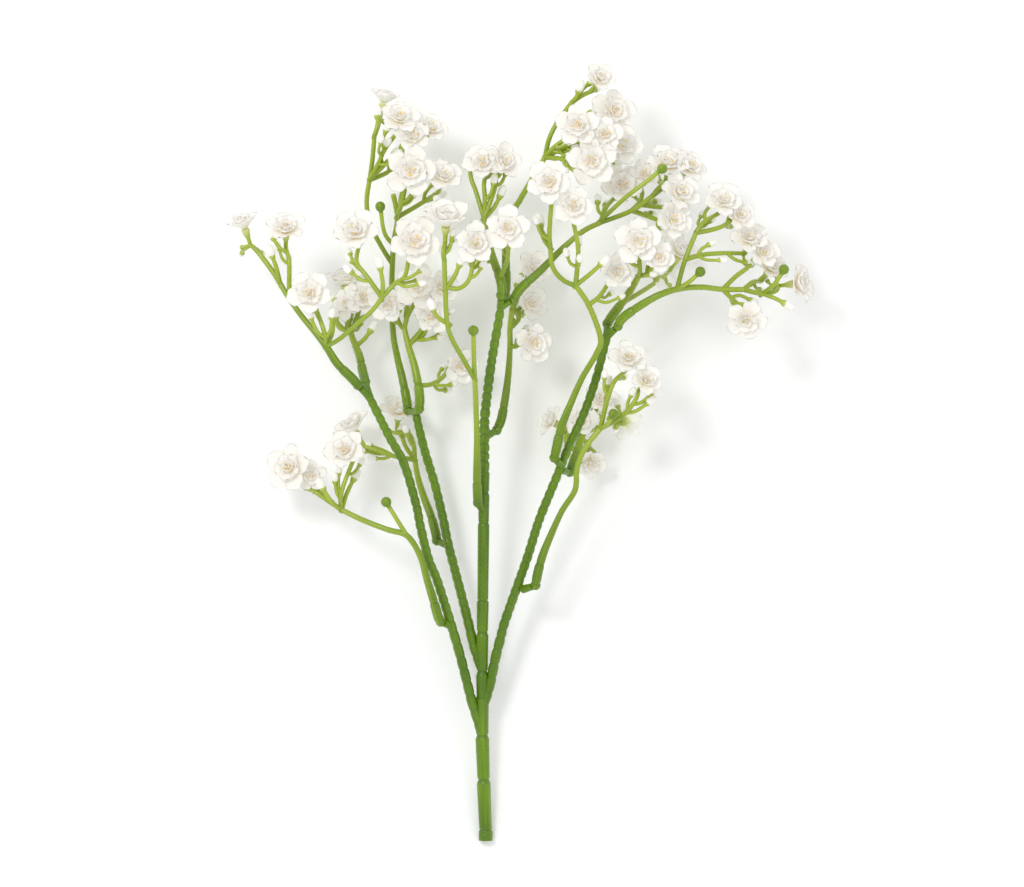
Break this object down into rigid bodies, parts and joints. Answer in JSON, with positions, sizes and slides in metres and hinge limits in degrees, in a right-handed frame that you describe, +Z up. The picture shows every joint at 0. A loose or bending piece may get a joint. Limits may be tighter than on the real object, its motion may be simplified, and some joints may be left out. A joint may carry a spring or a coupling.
{
  "type": "gypsophila stem",
  "caption": "Artificial gypsophila stem with a ringed forked stalk, plug-in sprays and small white double blooms, lying on its back.",
  "frame": {"origin": "centre of the small flat under the stem's cut end, on the table", "axes": "+Y along the stem from the cut end to the blooms, +Z up off the table towards the viewer, +X to the viewer's right"},
  "size_m": [0.2346, 0.3127, 0.09],
  "materials": {
    "main_stem": "moulded, satin, mid green",
    "spray": "moulded, satin, yellow-green paling to the calyx cups",
    "petals": "matt white petals, cream at the centre"
  },
  "bodies": {
    "root": {"bloom_a1_a2": "petals", "bloom_a3": "petals", "bloom_b1": "petals", "bloom_b2": "petals", "bloom_c1": "petals", "bloom_c2_c3": "petals", "bloom_d1": "petals", "bloom_d2": "petals", "bloom_d3": "petals", "bloom_d4": "petals", "bloom_d5": "petals", "bloom_f1_f2": "petals", "bloom_f3": "petals", "bloom_f4_f5_f6": "petals", "bloom_g1_g2_g3": "petals", "bloom_g4": "petals", "bloom_g5": "petals", "bloom_h1": "petals", "bloom_h2": "petals", "bloom_i1_i2": "petals", "bloom_i3": "petals", "bloom_j1": "petals", "bloom_j2": "petals", "bloom_j3": "petals", "bloom_k1_k2_k3": "petals", "bloom_k4_k5": "petals", "bloom_k6": "petals", "bloom_l1_l2_l3_l4": "petals", "bloom_l5_l6": "petals", "bloom_m1_m2": "petals", "bloom_m3": "petals", "bloom_n1_n2": "petals", "bloom_n3": "petals", "bloom_o1_o2": "petals", "bloom_o3_o4": "petals", "bloom_o5": "petals", "bloom_o6": "petals", "bloom_o7": "petals", "bloom_p1_p2": "petals", "bloom_p3": "petals", "bloom_r1_r2": "petals", "bloom_r3": "petals", "bloom_r4": "petals", "main_stem": "main_stem", "spray_a": "spray", "spray_b": "spray", "spray_c": "spray", "spray_d": "spray", "spray_f": "spray", "spray_g": "spray", "spray_h": "spray", "spray_i": "spray", "spray_j": "spray", "spray_k": "spray", "spray_l": "spray", "spray_m": "spray", "spray_n": "spray", "spray_o": "spray", "spray_p": "spray", "spray_r": "spray"}
  },
  "joints": []
}
